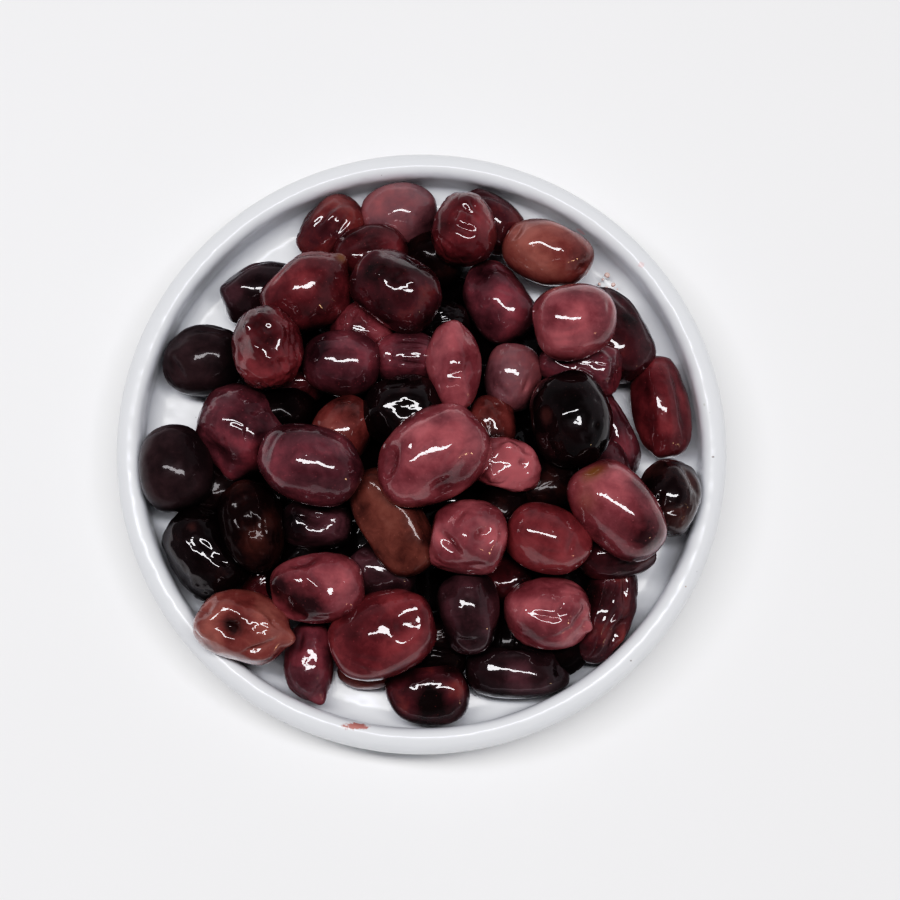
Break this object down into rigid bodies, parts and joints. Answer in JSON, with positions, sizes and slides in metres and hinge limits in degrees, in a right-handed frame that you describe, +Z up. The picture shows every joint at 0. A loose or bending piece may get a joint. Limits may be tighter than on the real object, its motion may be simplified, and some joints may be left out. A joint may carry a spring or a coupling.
{
  "type": "dish of olives",
  "caption": "A round white glazed dish with a rolled rim, heaped with glossy dark brined olives, ready to serve as a starter.",
  "frame": {"origin": "on the dish's axis, at the plane that its foot ring stands on", "axes": "+Z up along the dish's axis, +X to the right and +Y away from the eye that looks down on the dish"},
  "size_m": [0.16, 0.16, 0.0529],
  "materials": {
    "dish": "white glossy glaze, unglazed foot ring",
    "olives": "wet olive skin in wine, plum, rose and near-black tones"
  },
  "bodies": {
    "root": {"dish": "dish", "olives": "olives"}
  },
  "joints": []
}
